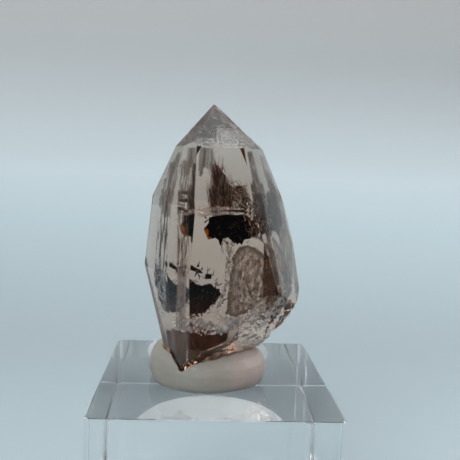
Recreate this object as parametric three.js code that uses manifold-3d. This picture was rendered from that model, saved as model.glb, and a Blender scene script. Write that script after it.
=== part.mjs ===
// Himalayan smoky quartz point on show: a clear six-sided crystal stands upright, its broken
// foot pressed into a lump of display putty, on a clear square display block.
// The crystal is one clear body that holds dark mineral inclusions. It is parted by an
// upright plane through those inclusions, so that each of them lies in a pocket of its own.
// Millimetres, +Z up. The origin is the middle of the block's underside.
import * as THREE from 'three';
import { ConvexGeometry } from 'three/addons/geometries/ConvexGeometry.js';
import { mergeVertices } from 'three/addons/utils/BufferGeometryUtils.js';
import Module from 'manifold-3d';

// Display block: a cast acrylic block with polished faces, a small chamfer on its rims and a
// shallow round dish ground into its underside.
const BLOCK_WIDTH = 50.8;
const BLOCK_HEIGHT = 40;
const BLOCK_CORNER_RADIUS = 1.6;
const BLOCK_CHAMFER = 0.4;
const BLOCK_CORNER_STEPS = 6;
const DISH_RADIUS = 19;
const DISH_DEPTH = 3.4;
const DISH_RINGS = 8;
const DISH_SEGMENTS = 56;

// Putty: an oval lump pressed flat on the block. The rim is the widest outline.
const PUTTY_CENTRE = { x: -1.6, y: -1.5 };
const PUTTY_HALF_WIDTH = 13.3;
const PUTTY_HALF_DEPTH = 10.9;
const PUTTY_HEIGHT = 8.4;
const PUTTY_LEFT_SWELL = 2.2;
const PUTTY_BACK_LEAN = 1.6;
const PUTTY_LONGITUDES = 44;
// Side profile of the lump: share of the half width, share of the height.
const PUTTY_PROFILE = [
  [0, 0], [0.6, 0], [0.93, 0], [0.98, 0.08], [1, 0.22], [0.995, 0.38], [0.965, 0.55],
  [0.89, 0.72], [0.76, 0.85], [0.58, 0.94], [0.32, 0.985], [0, 1],
];

// Crystal: the axis leans on no side, and the tip stands a little left of it.
const AXIS = { x: 1, y: 1.5 };
const TIP = { x: -2.1, y: 0.8, z: 101.6 };
const TIP_RIDGE = 1.6;
const CRYSTAL_FLOOR = 36;
// Each side is a strip of flat faces. direction is the way it looks, in degrees from +X
// towards +Y, and steps are [height, distance from the axis] from the shoulder down.
const SIDES = {
  front: { direction: -84, steps: [[92.3, 8.6], [79, 11.9], [44, 13.2]], ends: true },
  frontEdge: { direction: -54, steps: [[92.3, 8.7], [79, 12.7], [44, 19.7]], ends: false },
  frontRight: { direction: -26, steps: [[92.3, 7.4], [81, 11.2], [71, 13.9], [44, 20.2]], ends: true },
  backRight: { direction: 34, steps: [[92.3, 6.7], [81, 12.8], [71, 15.1], [44, 15.9]], ends: true },
  back: { direction: 96, steps: [[92.3, 8.8], [78, 12.4], [44, 13]], ends: true },
  backLeft: { direction: 153, steps: [[92.3, 8.6], [81, 15.4], [65.2, 16.9], [42, 5.9]], ends: true },
  frontLeft: { direction: 210, steps: [[92.3, 11.3], [81, 13.4], [64.5, 14.5], [42, 13.3]], ends: true },
  leftEdge: { direction: 222, steps: [[92.3, 11.2], [81, 13.2], [64.5, 14.3], [42, 14.2]], ends: false },
};

// Broken foot: a bevelled front strip, a shell-like fracture that rises to the right, chips at
// its two ends, and an underside of two slopes. Each is a plane through a point, with the way
// it looks.
const FRONT_STRIP = { point: [-5.8, -12.2, 47.7], normal: [0.327, -0.732, -0.599] };
const LEFT_CHIP = { point: [-8.6, -8.8, 44.3], normal: [-0.55, -0.25, -0.8] };
const RIGHT_CHIPS = [
  { point: [19.3, 2, 60.6], normal: [0.93, 0.05, -0.36] },
  { point: [15.5, 2, 52.5], normal: [0.74, -0.1, -0.66] },
  { point: [12.6, 2, 49.1], normal: [0.62, -0.1, -0.78] },
];
const FRACTURE = { point: [10.8, -11.3, 59.6], normal: [0.615, -0.591, -0.522] };
const FOOT_UNDERSIDE = { point: [-4.9, -9, 44.2], normal: [0.447, 0, -0.894] };
const RIGHT_UNDERSIDE = { point: [2.5, -8.7, 47.5], normal: [0.1, -0.1, -0.99] };
// Curved ripples run out from where the break began, at the right corner, and a round scoop
// is broken out of the front face.
const FRACTURE_ORIGIN = { x: 21, y: 2 };
const RIPPLE_LENGTH = 3.4;
const RIPPLE_HEIGHT = 0.3;
const SCOOP_CENTRE = { x: 7.9, y: -10.2 };
const SCOOP_RADIUS = 4.6;
const SCOOP_HEIGHT = 3.9;
const FOOT_GRID = 0.85;
const FOOT_AREA = { x: [-17, 29], y: [-22, 20] };

// Parting plane of the clear body, and the room left round what lies in it or round its foot.
const PARTING_Y = 5;
const POCKET_ROOM = 0.35;
const FOOT_ROOM = 0.3;

// Inclusions: thin jagged plates that stand in the parting plane, with thicker lozenges grown
// through them. Outlines are [x, z]; a lozenge has a centre, half sizes and a turn in degrees.
const UPPER_INCLUSION = {
  outline: [
    [-4.1, 73.9], [-3.1, 75.1], [-2.9, 76.4], [-1.1, 77.1], [1, 77.4], [3.6, 77.2],
    [5.2, 77.3], [6.3, 76.4], [7.6, 75.7], [7.5, 74.6], [7.2, 73.3], [6.5, 72],
    [5.2, 71.7], [4.7, 70.5], [3.9, 71.2], [2.9, 70.9], [1.7, 72.1], [0.4, 71.9],
    [-0.2, 70.2], [-0.6, 71.6], [-1.4, 71.9], [-3, 71.6], [-3.5, 72.7],
  ],
  thickness: 1.6,
  lozenges: [
    { centre: [2.1, 5, 74.5], half: [5.1, 2.4, 2.9], turn: [4, 0, 12] },
    { centre: [5, 5.4, 74], half: [2.6, 2.1, 2.7], turn: [10, 8, -20] },
    { centre: [-1.1, 4.7, 74.6], half: [2.1, 1.7, 2.2], turn: [0, 14, 25] },
    { centre: [3.9, 4.8, 72.1], half: [1.3, 1.3, 1.7], turn: [0, 12, 40] },
  ],
};
const LOWER_INCLUSION = {
  outline: [
    [-11.2, 63.1], [-10.3, 64.6], [-9.2, 63], [-8.4, 63.7], [-6.9, 62.3], [-5.1, 61],
    [-3.6, 60.7], [-2.8, 61.2], [-2, 61.3], [-1, 60.3], [0, 59.7], [0.3, 59.2],
    [-0.3, 58.2], [-0.9, 57.2], [-1.9, 56.4], [-3.1, 54.8], [-5.4, 54.4], [-7.4, 54.9],
    [-8.1, 56.3], [-9.3, 56.9], [-9.6, 59.1], [-10.9, 60.4],
  ],
  thickness: 1.4,
  lozenges: [
    { centre: [-3.9, 5, 58.5], half: [3.3, 2.2, 2.9], turn: [6, 10, -14] },
    { centre: [-1.7, 4.8, 59.4], half: [2, 1.5, 1.7], turn: [0, -20, 20] },
    { centre: [-6.2, 5.3, 58.9], half: [1.6, 1.5, 3], turn: [0, 6, 30] },
    { centre: [-8.9, 4.8, 60.6], half: [1.7, 1.4, 2.8], turn: [0, -18, 10] },
  ],
};
const LEFT_FLAKE = {
  outline: [[-6.9, 65.6], [-4.7, 64.5], [-4.1, 63.7], [-5.5, 64], [-6.7, 64.4]],
  thickness: 0.9,
  lozenges: [],
};
const RIGHT_FLAKE = {
  outline: [[-3.4, 63.6], [-1.9, 63.5], [-2, 62.5], [-3.4, 62.7]],
  thickness: 0.9,
  lozenges: [],
};
// Three planes that spread less than this have no meeting point.
const SMALL = 1e-5;
// Slivers finer than this are smoothed away after a cut.
const FINEST = 0.02;
// Farther out than anything here.
const FAR = 200;

const wasm = await Module();
wasm.setup();

// Turns a closed three.js geometry into a solid that can be joined and cut.
function solidOf(geometry) {
  const bare = geometry.clone();
  bare.deleteAttribute('normal');
  bare.deleteAttribute('uv');
  const merged = mergeVertices(bare, 1e-4);
  const vertProperties = Float32Array.from(merged.getAttribute('position').array);
  const triVerts = Uint32Array.from(merged.getIndex().array);
  return new wasm.Manifold(new wasm.Mesh({ numProp: 3, vertProperties, triVerts }));
}

// Turns a solid back into a geometry with flat faces.
function geometryOf(solid) {
  const mesh = solid.getMesh();
  const geometry = new THREE.BufferGeometry();
  geometry.setAttribute('position', new THREE.BufferAttribute(mesh.vertProperties, 3));
  geometry.setIndex(new THREE.BufferAttribute(mesh.triVerts, 1));
  return geometry;
}

function namedMesh(name, solid, look) {
  const mesh = new THREE.Mesh(geometryOf(solid), new THREE.MeshStandardMaterial(look));
  mesh.name = name;
  return mesh;
}

// A box between two corners.
function boxSolid(low, high) {
  const size = high.map((value, axis) => value - low[axis]);
  const geometry = new THREE.BoxGeometry(...size);
  geometry.translate(...low.map((value, axis) => value + size[axis] / 2));
  return solidOf(geometry);
}

// A plane that looks the way of normal, with its distance from the origin.
function planeThrough(point, normal, room = 0) {
  const unit = new THREE.Vector3(...normal).normalize();
  return { unit, distance: unit.dot(new THREE.Vector3(...point)) + room };
}

// The point where three planes meet, or null where they are nearly parallel.
function meetingPoint(a, b, c) {
  const cross = new THREE.Vector3().crossVectors(b.unit, c.unit);
  const spread = a.unit.dot(cross);
  if (Math.abs(spread) < SMALL) {
    return null;
  }
  const point = cross.multiplyScalar(a.distance);
  point.addScaledVector(new THREE.Vector3().crossVectors(c.unit, a.unit), b.distance);
  point.addScaledVector(new THREE.Vector3().crossVectors(a.unit, b.unit), c.distance);
  return point.divideScalar(spread);
}

// The convex body behind a set of planes: every corner where three planes meet and that lies
// behind all the others.
function bodyBehind(planes) {
  const corners = [];
  for (let i = 0; i < planes.length; i += 1) {
    for (let j = i + 1; j < planes.length; j += 1) {
      for (let k = j + 1; k < planes.length; k += 1) {
        const point = meetingPoint(planes[i], planes[j], planes[k]);
        const inside = point && planes.every((p) => p.unit.dot(point) < p.distance + 1e-4);
        if (inside && !corners.some((corner) => corner.distanceTo(point) < 1e-3)) {
          corners.push(point);
        }
      }
    }
  }
  return solidOf(new ConvexGeometry(corners));
}

// One flat face of a side: it runs through two steps of the side's profile, level across.
function stepPlane(direction, upper, lower, room) {
  const angle = THREE.MathUtils.degToRad(direction);
  const out = [Math.cos(angle), Math.sin(angle)];
  const fall = upper[0] - lower[0];
  const spread = lower[1] - upper[1];
  const point = [AXIS.x + out[0] * upper[1], AXIS.y + out[1] * upper[1], upper[0]];
  return planeThrough(point, [out[0] * fall, out[1] * fall, spread], room);
}

// The end face above a side, from its shoulder to the tip.
function endPlane(side, room) {
  const angle = THREE.MathUtils.degToRad(side.direction);
  const ridge = TIP_RIDGE * Math.abs(Math.sin(angle)) * 0.5;
  const tipReach = (TIP.x - AXIS.x) * Math.cos(angle) + (TIP.y - AXIS.y) * Math.sin(angle);
  const tip = [TIP.z + ridge, tipReach];
  return stepPlane(side.direction, tip, side.steps[0], room);
}

// Height of a plane over a point of the ground.
function planeHeight(plane, x, y) {
  return (plane.distance - plane.unit.x * x - plane.unit.y * y) / plane.unit.z;
}

// Height of the broken foot over the ground. Room lowers it, for a recess that holds it.
function footHeight(x, y, room) {
  const heightOf = ({ point, normal }) => planeHeight(planeThrough(point, normal, room), x, y);
  const chips = [FRONT_STRIP, LEFT_CHIP, ...RIGHT_CHIPS].map(heightOf);
  const reach = Math.hypot(x - FRACTURE_ORIGIN.x, y - FRACTURE_ORIGIN.y);
  const ripple = RIPPLE_HEIGHT * Math.sin((2 * Math.PI * reach) / RIPPLE_LENGTH + 0.25 * y);
  const aside = Math.hypot(x - SCOOP_CENTRE.x, y - SCOOP_CENTRE.y) / SCOOP_RADIUS;
  const fracture = heightOf(FRACTURE) + ripple + SCOOP_HEIGHT * Math.exp(-aside * aside);
  const wave = 0.35 * RIPPLE_HEIGHT * Math.sin(1.9 * x + 0.8 * y);
  const underside = Math.min(heightOf(FOOT_UNDERSIDE), heightOf(RIGHT_UNDERSIDE)) + wave;
  return Math.max(...chips, fracture, underside);
}

// Everything below the broken foot.
function groundBelowFoot(room) {
  const [left, rightEnd] = FOOT_AREA.x;
  const [front, backEnd] = FOOT_AREA.y;
  const columns = Math.round((rightEnd - left) / FOOT_GRID);
  const rows = Math.round((backEnd - front) / FOOT_GRID);
  const geometry = new THREE.BoxGeometry(rightEnd - left, backEnd - front, 1, columns, rows, 1);
  geometry.translate((left + rightEnd) / 2, (front + backEnd) / 2, 0);
  const position = geometry.getAttribute('position');
  for (let i = 0; i < position.count; i += 1) {
    const top = position.getZ(i) > 0;
    const height = footHeight(position.getX(i), position.getY(i), room);
    position.setZ(i, top ? height : CRYSTAL_FLOOR - 10);
  }
  return solidOf(geometry);
}

// The whole clear body, grown by room on every face.
function crystalBody(room) {
  const planes = [planeThrough([0, 0, CRYSTAL_FLOOR], [0, 0, -1])];
  for (const side of Object.values(SIDES)) {
    for (let i = 1; i < side.steps.length; i += 1) {
      planes.push(stepPlane(side.direction, side.steps[i - 1], side.steps[i], room));
    }
    if (side.ends) {
      planes.push(endPlane(side, room));
    }
  }
  return bodyBehind(planes).subtract(groundBelowFoot(room));
}

// A flat-faced body with six points.
function lozengeSolid({ centre, half, turn }) {
  const turned = new THREE.Euler(...turn.map((angle) => THREE.MathUtils.degToRad(angle)));
  const points = [];
  for (let axis = 0; axis < 3; axis += 1) {
    for (const sign of [-1, 1]) {
      const point = new THREE.Vector3().setComponent(axis, sign * half[axis]);
      points.push(point.applyEuler(turned).add(new THREE.Vector3(...centre)));
    }
  }
  return solidOf(new ConvexGeometry(points));
}

// A jagged plate that stands in the parting plane, with lozenges grown through it.
function inclusionSolid({ outline, thickness, lozenges }) {
  const shape = new THREE.Shape(outline.map(([x, z]) => new THREE.Vector2(x, z)));
  const plate = new THREE.ExtrudeGeometry(shape, { depth: thickness, bevelEnabled: false });
  plate.rotateX(Math.PI / 2);
  plate.translate(0, PARTING_Y + thickness / 2, 0);
  return lozenges.reduce((sum, lozenge) => sum.add(lozengeSolid(lozenge)), solidOf(plate));
}

// The pocket round one or more inclusions: their convex outline, pushed out on all sides.
function pocketSolid(...held) {
  const joined = geometryOf(held.reduce((sum, inclusion) => sum.add(inclusion)));
  const position = joined.getAttribute('position');
  const pushed = [];
  for (let i = 0; i < position.count; i += 1) {
    for (let corner = 0; corner < 8; corner += 1) {
      const point = new THREE.Vector3().fromBufferAttribute(position, i);
      point.x += corner & 1 ? POCKET_ROOM : -POCKET_ROOM;
      point.y += corner & 2 ? POCKET_ROOM : -POCKET_ROOM;
      point.z += corner & 4 ? POCKET_ROOM : -POCKET_ROOM;
      pushed.push(point);
    }
  }
  return solidOf(new ConvexGeometry(pushed));
}

// Square outline with rounded corners.
function blockOutline() {
  const half = BLOCK_WIDTH / 2;
  const inner = half - BLOCK_CORNER_RADIUS;
  const shape = new THREE.Shape();
  shape.moveTo(inner, -half);
  shape.absarc(inner, -inner, BLOCK_CORNER_RADIUS, -Math.PI / 2, 0);
  shape.absarc(inner, inner, BLOCK_CORNER_RADIUS, 0, Math.PI / 2);
  shape.absarc(-inner, inner, BLOCK_CORNER_RADIUS, Math.PI / 2, Math.PI);
  shape.absarc(-inner, -inner, BLOCK_CORNER_RADIUS, Math.PI, 1.5 * Math.PI);
  return shape;
}

// The round dish in the underside: a shallow cap of a sphere.
function dishSolid() {
  const sphere = (DISH_RADIUS ** 2 + DISH_DEPTH ** 2) / (2 * DISH_DEPTH);
  const centre = DISH_DEPTH - sphere;
  const low = -1;
  const sweep = Math.acos((low - centre) / sphere);
  const profile = [new THREE.Vector2(0, low)];
  for (let i = DISH_RINGS; i >= 0; i -= 1) {
    const angle = (sweep * i) / DISH_RINGS;
    const across = i === 0 ? 0 : sphere * Math.sin(angle);
    profile.push(new THREE.Vector2(across, centre + sphere * Math.cos(angle)));
  }
  const geometry = new THREE.LatheGeometry(profile, DISH_SEGMENTS);
  geometry.rotateX(Math.PI / 2);
  return solidOf(geometry);
}

function displayBlock() {
  const geometry = new THREE.ExtrudeGeometry(blockOutline(), {
    depth: BLOCK_HEIGHT - 2 * BLOCK_CHAMFER,
    bevelSize: BLOCK_CHAMFER,
    bevelOffset: -BLOCK_CHAMFER,
    bevelThickness: BLOCK_CHAMFER,
    bevelSegments: 1,
    curveSegments: BLOCK_CORNER_STEPS,
  });
  geometry.translate(0, 0, BLOCK_CHAMFER);
  return solidOf(geometry).subtract(dishSolid());
}

// The putty lump before the crystal is pressed in. Its outline is an oval with soft corners, it
// swells up at the left and leans a little to the back.
function puttyLump() {
  const geometry = new THREE.BufferGeometry();
  const rings = PUTTY_PROFILE.length;
  const vertices = [];
  const faces = [];
  for (let ring = 0; ring < rings; ring += 1) {
    const [reach, rise] = PUTTY_PROFILE[ring];
    for (let i = 0; i < PUTTY_LONGITUDES; i += 1) {
      const angle = (2 * Math.PI * i) / PUTTY_LONGITUDES;
      const wave = 1 + 0.012 * Math.sin(3 * angle + 0.6) + 0.008 * Math.sin(7 * angle);
      const swell = PUTTY_LEFT_SWELL * reach * Math.max(0, -Math.cos(angle - 0.35));
      const x = PUTTY_CENTRE.x + PUTTY_HALF_WIDTH * reach * wave * Math.cos(angle);
      const y = PUTTY_CENTRE.y + PUTTY_HALF_DEPTH * reach * wave * Math.sin(angle);
      const z = BLOCK_HEIGHT + rise * (PUTTY_HEIGHT + swell);
      vertices.push(x, y + PUTTY_BACK_LEAN * rise * rise, z);
    }
  }
  for (let ring = 0; ring + 1 < rings; ring += 1) {
    for (let i = 0; i < PUTTY_LONGITUDES; i += 1) {
      const next = (i + 1) % PUTTY_LONGITUDES;
      const a = ring * PUTTY_LONGITUDES + i;
      const b = ring * PUTTY_LONGITUDES + next;
      const c = a + PUTTY_LONGITUDES;
      const d = b + PUTTY_LONGITUDES;
      if (ring > 0) {
        faces.push(a, b, c);
      }
      if (ring + 2 < rings) {
        faces.push(b, d, c);
      }
    }
  }
  geometry.setAttribute('position', new THREE.Float32BufferAttribute(vertices, 3));
  geometry.setIndex(faces);
  return solidOf(geometry);
}

const inclusions = {
  inclusion_upper: inclusionSolid(UPPER_INCLUSION),
  inclusion_lower: inclusionSolid(LOWER_INCLUSION),
  inclusion_flake_left: inclusionSolid(LEFT_FLAKE),
  inclusion_flake_right: inclusionSolid(RIGHT_FLAKE),
};
const upperPocket = pocketSolid(inclusions.inclusion_upper);
const lowerPocket = pocketSolid(
  inclusions.inclusion_lower,
  inclusions.inclusion_flake_left,
  inclusions.inclusion_flake_right,
);
const hollowed = crystalBody(0).subtract(upperPocket).subtract(lowerPocket).simplify(FINEST);
const frontHalf = hollowed.intersect(boxSolid([-FAR, -FAR, -FAR], [FAR, PARTING_Y, FAR]));
const backHalf = hollowed.intersect(boxSolid([-FAR, PARTING_Y, -FAR], [FAR, FAR, FAR]));
const putty = puttyLump().subtract(crystalBody(FOOT_ROOM)).simplify(FINEST);

const clearQuartz = { color: 0x9a8a7c, roughness: 0.05, metalness: 0, transparent: true, opacity: 0.45 };
const clearAcrylic = { color: 0xdfe8ea, roughness: 0.03, metalness: 0, transparent: true, opacity: 0.35 };
const paleLump = { color: 0xb9b3ad, roughness: 0.55, metalness: 0 };
const darkMineral = { color: 0x0d0908, roughness: 0.4, metalness: 0 };

const specimen = new THREE.Group();
specimen.add(namedMesh('display_block', displayBlock(), clearAcrylic));
specimen.add(namedMesh('putty', putty, paleLump));
specimen.add(namedMesh('crystal_front', frontHalf, clearQuartz));
specimen.add(namedMesh('crystal_back', backHalf, clearQuartz));
for (const [name, solid] of Object.entries(inclusions)) {
  specimen.add(namedMesh(name, solid, darkMineral));
}

export default specimen;
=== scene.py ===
import math

import bmesh
import bpy
from mathutils import Matrix, Vector, noise
from mathutils.bvhtree import BVHTree


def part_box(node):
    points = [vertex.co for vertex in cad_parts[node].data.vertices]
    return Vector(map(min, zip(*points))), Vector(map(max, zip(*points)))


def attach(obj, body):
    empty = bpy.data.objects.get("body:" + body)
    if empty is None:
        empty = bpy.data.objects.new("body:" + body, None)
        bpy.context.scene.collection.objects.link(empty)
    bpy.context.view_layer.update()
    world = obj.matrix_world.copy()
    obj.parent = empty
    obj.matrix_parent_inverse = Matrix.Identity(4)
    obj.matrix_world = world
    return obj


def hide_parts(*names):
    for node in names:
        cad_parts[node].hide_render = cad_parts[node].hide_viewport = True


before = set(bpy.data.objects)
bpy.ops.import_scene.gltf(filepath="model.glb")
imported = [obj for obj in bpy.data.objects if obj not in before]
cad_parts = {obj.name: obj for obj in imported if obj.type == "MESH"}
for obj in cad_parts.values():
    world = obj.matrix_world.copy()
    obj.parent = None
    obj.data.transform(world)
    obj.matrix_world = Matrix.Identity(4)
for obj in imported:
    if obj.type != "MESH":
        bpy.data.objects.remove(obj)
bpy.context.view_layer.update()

MM = 0.001

# Camera. It looks at the crystal from the front, a little from above, at the photograph's
# own angle: turned slightly to the right, tilted down and rolled by a hair.
camera_at = Vector((-5.34, -134.2, 89.22)) * MM
camera_turn = math.radians(3.33)
camera_tilt = math.radians(6.49)
camera_roll = math.radians(2.32)
photo_width_px = 460
focal_px = 596
level_right = Vector((math.cos(camera_turn), -math.sin(camera_turn), 0))
level_ahead = Vector((math.sin(camera_turn), math.cos(camera_turn), 0))
straight_up = Vector((0, 0, 1))
ahead = level_ahead * math.cos(camera_tilt) - straight_up * math.sin(camera_tilt)
tilted_up = straight_up * math.cos(camera_tilt) + level_ahead * math.sin(camera_tilt)
right = level_right * math.cos(camera_roll) + tilted_up * math.sin(camera_roll)
up = tilted_up * math.cos(camera_roll) - level_right * math.sin(camera_roll)
camera_data = bpy.data.cameras.new("photo_camera")
camera_data.sensor_width = 36
camera_data.lens = camera_data.sensor_width * focal_px / photo_width_px
camera_data.clip_start = 0.005
camera = bpy.data.objects.new("photo_camera", camera_data)
turn = Matrix((right, up, -ahead)).transposed().to_4x4()
camera.matrix_world = Matrix.Translation(camera_at) @ turn
bpy.context.collection.objects.link(camera)
bpy.context.scene.camera = camera

# Floor and backdrop. One sheet of pale blue-grey board: level under the block, then swept up
# behind it, as in a small studio. Painted shade darkens its level part and its far and front
# reaches.
board_colour = (0.54, 0.655, 0.705, 1)
board_high_colour = (0.63, 0.63, 0.63, 1)
board_tone_low = 50 * MM
board_tone_high = 210 * MM
# Painted shade: the dark colour the board fades to away from its lit middle.
board_painted_shade = (0.10, 0.115, 0.125, 1)
board_lit_reach = 230 * MM
board_dim_reach = 520 * MM
board_front_haste = 2.6
# Painted shade: the level floor keeps only this share of the board's colour, rising to full a
# little way up the sweep.
floor_painted_shade_share = 0.48
floor_shade_fade = 80 * MM
board_front = -700 * MM
board_bend = 120 * MM
board_bend_radius = 160 * MM
board_top = 420 * MM
board_half_width = 900 * MM
board_drop = 0.1 * MM
bend_steps = 24


def new_material(name):
    made = bpy.data.materials.new(name)
    made.use_nodes = True
    tree = made.node_tree
    return made, tree.nodes, tree.links, tree.nodes["Principled BSDF"]


def mesh_object(name, points, faces):
    data = bpy.data.meshes.new(name)
    data.from_pydata([tuple(p) for p in points], [], faces)
    data.update()
    made = bpy.data.objects.new(name, data)
    bpy.context.collection.objects.link(made)
    return made


def fill(links, socket, value):
    """Gives a node's input a plain value, or links another node's output to it."""
    if isinstance(value, bpy.types.NodeSocket):
        links.new(value, socket)
    else:
        socket.default_value = value


def combined(nodes, links, operation, a, b=0):
    made = nodes.new("ShaderNodeMath")
    made.operation = operation
    fill(links, made.inputs[0], a)
    fill(links, made.inputs[1], b)
    return made.outputs[0]


def mapped(nodes, links, value, low, high, to_low=0.0, to_high=1.0, soft=False):
    made = nodes.new("ShaderNodeMapRange")
    if soft:
        made.interpolation_type = "SMOOTHSTEP"
    given = {
        "Value": value, "From Min": low, "From Max": high, "To Min": to_low, "To Max": to_high,
    }
    for label, amount in given.items():
        fill(links, made.inputs[label], amount)
    return made.outputs["Result"]


def mixed_colour(nodes, links, share, first, second):
    made = nodes.new("ShaderNodeMix")
    made.data_type = "RGBA"
    for label, amount in (("Factor", share), ("A", first), ("B", second)):
        fill(links, made.inputs[label], amount)
    return made.outputs["Result"]


def object_place(nodes):
    return nodes.new("ShaderNodeTexCoord").outputs["Object"]


def split_place(nodes, links):
    """X, Y and Z of the shaded point, in metres."""
    split = nodes.new("ShaderNodeSeparateXYZ")
    links.new(object_place(nodes), split.inputs[0])
    return split.outputs


sweep = [(board_front, -board_drop), (board_bend, -board_drop)]
for step in range(1, bend_steps + 1):
    angle = 0.5 * math.pi * step / bend_steps
    sweep.append((
        board_bend + board_bend_radius * math.sin(angle),
        -board_drop + board_bend_radius * (1 - math.cos(angle)),
    ))
sweep.append((sweep[-1][0], board_top))
sweep_points = [(side * board_half_width, y, z) for y, z in sweep for side in (-1, 1)]
sweep_faces = [(2 * i, 2 * i + 1, 2 * i + 3, 2 * i + 2) for i in range(len(sweep) - 1)]
board = mesh_object("studio_board", sweep_points, sweep_faces)
for face in board.data.polygons:
    face.use_smooth = True
board_material, nodes, links, shader = new_material("studio_board")
split = split_place(nodes, links)
# Painted shade: darker away from the middle, and sooner toward the front, as a falloff of light.
aside = combined(nodes, links, "ABSOLUTE", split["X"])
forward = combined(nodes, links, "MULTIPLY", split["Y"], -board_front_haste)
farther = combined(nodes, links, "MAXIMUM", aside, forward)
painted_falloff_share = mapped(nodes, links, farther, board_lit_reach, board_dim_reach, soft=True)
# Painted shade on the level floor, fading out as the board rises.
out_of_floor_shade = mapped(nodes, links, split["Z"], 0, floor_shade_fade, floor_painted_shade_share, 1)
toward_top = mapped(nodes, links, split["Z"], board_tone_low, board_tone_high)
tone = mixed_colour(nodes, links, toward_top, board_colour, board_high_colour)
tone = mixed_colour(nodes, links, painted_falloff_share, tone, board_painted_shade)
tone = mixed_colour(nodes, links, out_of_floor_shade, (0, 0, 0, 1), tone)
links.new(tone, shader.inputs["Base Color"])
shader.inputs["Roughness"].default_value = 0.85
shader.inputs["Specular IOR Level"].default_value = 0.2
board.data.materials.append(board_material)

# Light. A broad soft panel overhead and behind, two weaker ones on the right and at the front
# left, and a room that is pale above and behind the object and dim in front of it.
room_bright_way = (0.1, 0.55, 0.83)
room_stops = ((0.45, (0.05, 0.051, 0.054, 1)), (0.88, (0.92, 0.96, 1, 1)))
room_strength = 0.9
crystal_middle = Vector((0, 0, 0.07))
soft_panels = (
    ("overhead_panel", (0.25, 0.48, 0.8), 1.2, 0.9, 23.0, (1, 0.99, 0.97)),
    ("right_panel", (0.7, 0.2, 0.55), 0.3, 0.4, 1.6, (1, 0.99, 0.98)),
    ("front_panel", (-0.45, -0.75, 0.55), 0.5, 0.4, 6.4, (1, 0.99, 0.98)),
)
light_bounces = 24
clear_layers = 32
brightest_bounce = 4

world = bpy.data.worlds.new("studio_room")
bpy.context.scene.world = world
world.use_nodes = True
nodes, links = world.node_tree.nodes, world.node_tree.links
toward_light = nodes.new("ShaderNodeVectorMath")
toward_light.operation = "DOT_PRODUCT"
toward_light.inputs[1].default_value = room_bright_way
links.new(nodes.new("ShaderNodeTexCoord").outputs["Generated"], toward_light.inputs[0])
room_tone = nodes.new("ShaderNodeValToRGB")
for stop, (position, colour) in zip(room_tone.color_ramp.elements, room_stops):
    stop.position = position
    stop.color = colour
links.new(mapped(nodes, links, toward_light.outputs["Value"], -1, 1), room_tone.inputs["Fac"])
links.new(room_tone.outputs["Color"], nodes["Background"].inputs["Color"])
nodes["Background"].inputs["Strength"].default_value = room_strength
for name, place, width, depth, power, colour in soft_panels:
    data = bpy.data.lights.new(name, "AREA")
    data.shape = "RECTANGLE"
    data.size = width
    data.size_y = depth
    data.energy = power
    data.color = colour
    panel = bpy.data.objects.new(name, data)
    panel.location = place
    way = Vector(place) - crystal_middle
    panel.rotation_euler = way.to_track_quat("Z", "Y").to_euler()
    bpy.context.collection.objects.link(panel)
bpy.context.scene.view_settings.view_transform = "Standard"
cycles = bpy.context.scene.cycles
cycles.max_bounces = light_bounces
cycles.transmission_bounces = light_bounces
cycles.transparent_max_bounces = clear_layers
cycles.sample_clamp_indirect = brightest_bounce

# Display block. A square block of clear cast acrylic, saw cut and polished, with small
# flame-polished rims. A shallow round dish is ground into its underside.
block_low, block_high = (Vector(corner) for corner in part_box("display_block"))
block_corner_radius = 1.6 * MM
block_rim = 0.4 * MM
dish_radius = 19 * MM
dish_depth = 3.4 * MM
corner_steps = 14
straight_steps = 10
dish_rings = 20
dish_frosting = 0.6
block_round_turn = math.radians(24)
acrylic_tint = (0.985, 0.995, 1, 1)
acrylic_ior = 1.49


def block_loop(inset, z):
    half = (block_high.x - block_low.x) / 2 - inset
    radius = block_corner_radius - inset
    reach = half - radius
    loop = []
    for quarter in range(4):
        start = 0.5 * math.pi * quarter
        middle = Vector((reach, reach, 0))
        middle.rotate(Matrix.Rotation(start, 3, "Z"))
        for step in range(corner_steps + 1):
            angle = start + 0.5 * math.pi * step / corner_steps
            loop.append(middle + radius * Vector((math.cos(angle), math.sin(angle), 0)))
        end = loop[-1]
        onward = Vector((-math.sin(start + 0.5 * math.pi), math.cos(start + 0.5 * math.pi), 0))
        for step in range(1, straight_steps):
            loop.append(end + onward * (2 * reach * step / straight_steps))
    return [Vector((p.x, p.y, z)) for p in loop]


def stacked_loops(name, loops, start_point=None, end_point=None):
    count = len(loops[0])
    points = [p for loop in loops for p in loop]
    faces = []
    for ring in range(len(loops) - 1):
        for i in range(count):
            j = (i + 1) % count
            a = ring * count
            faces.append((a + i, a + j, a + count + j, a + count + i))
    if start_point is None:
        faces.append(tuple(reversed(range(count))))
    else:
        points.append(start_point)
        faces.extend((len(points) - 1, (i + 1) % count, i) for i in range(count))
    last = (len(loops) - 1) * count
    if end_point is None:
        faces.append(tuple(range(last, last + count)))
    else:
        points.append(end_point)
        faces.extend((len(points) - 1, last + i, last + (i + 1) % count) for i in range(count))
    return mesh_object(name, points, faces)


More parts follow.
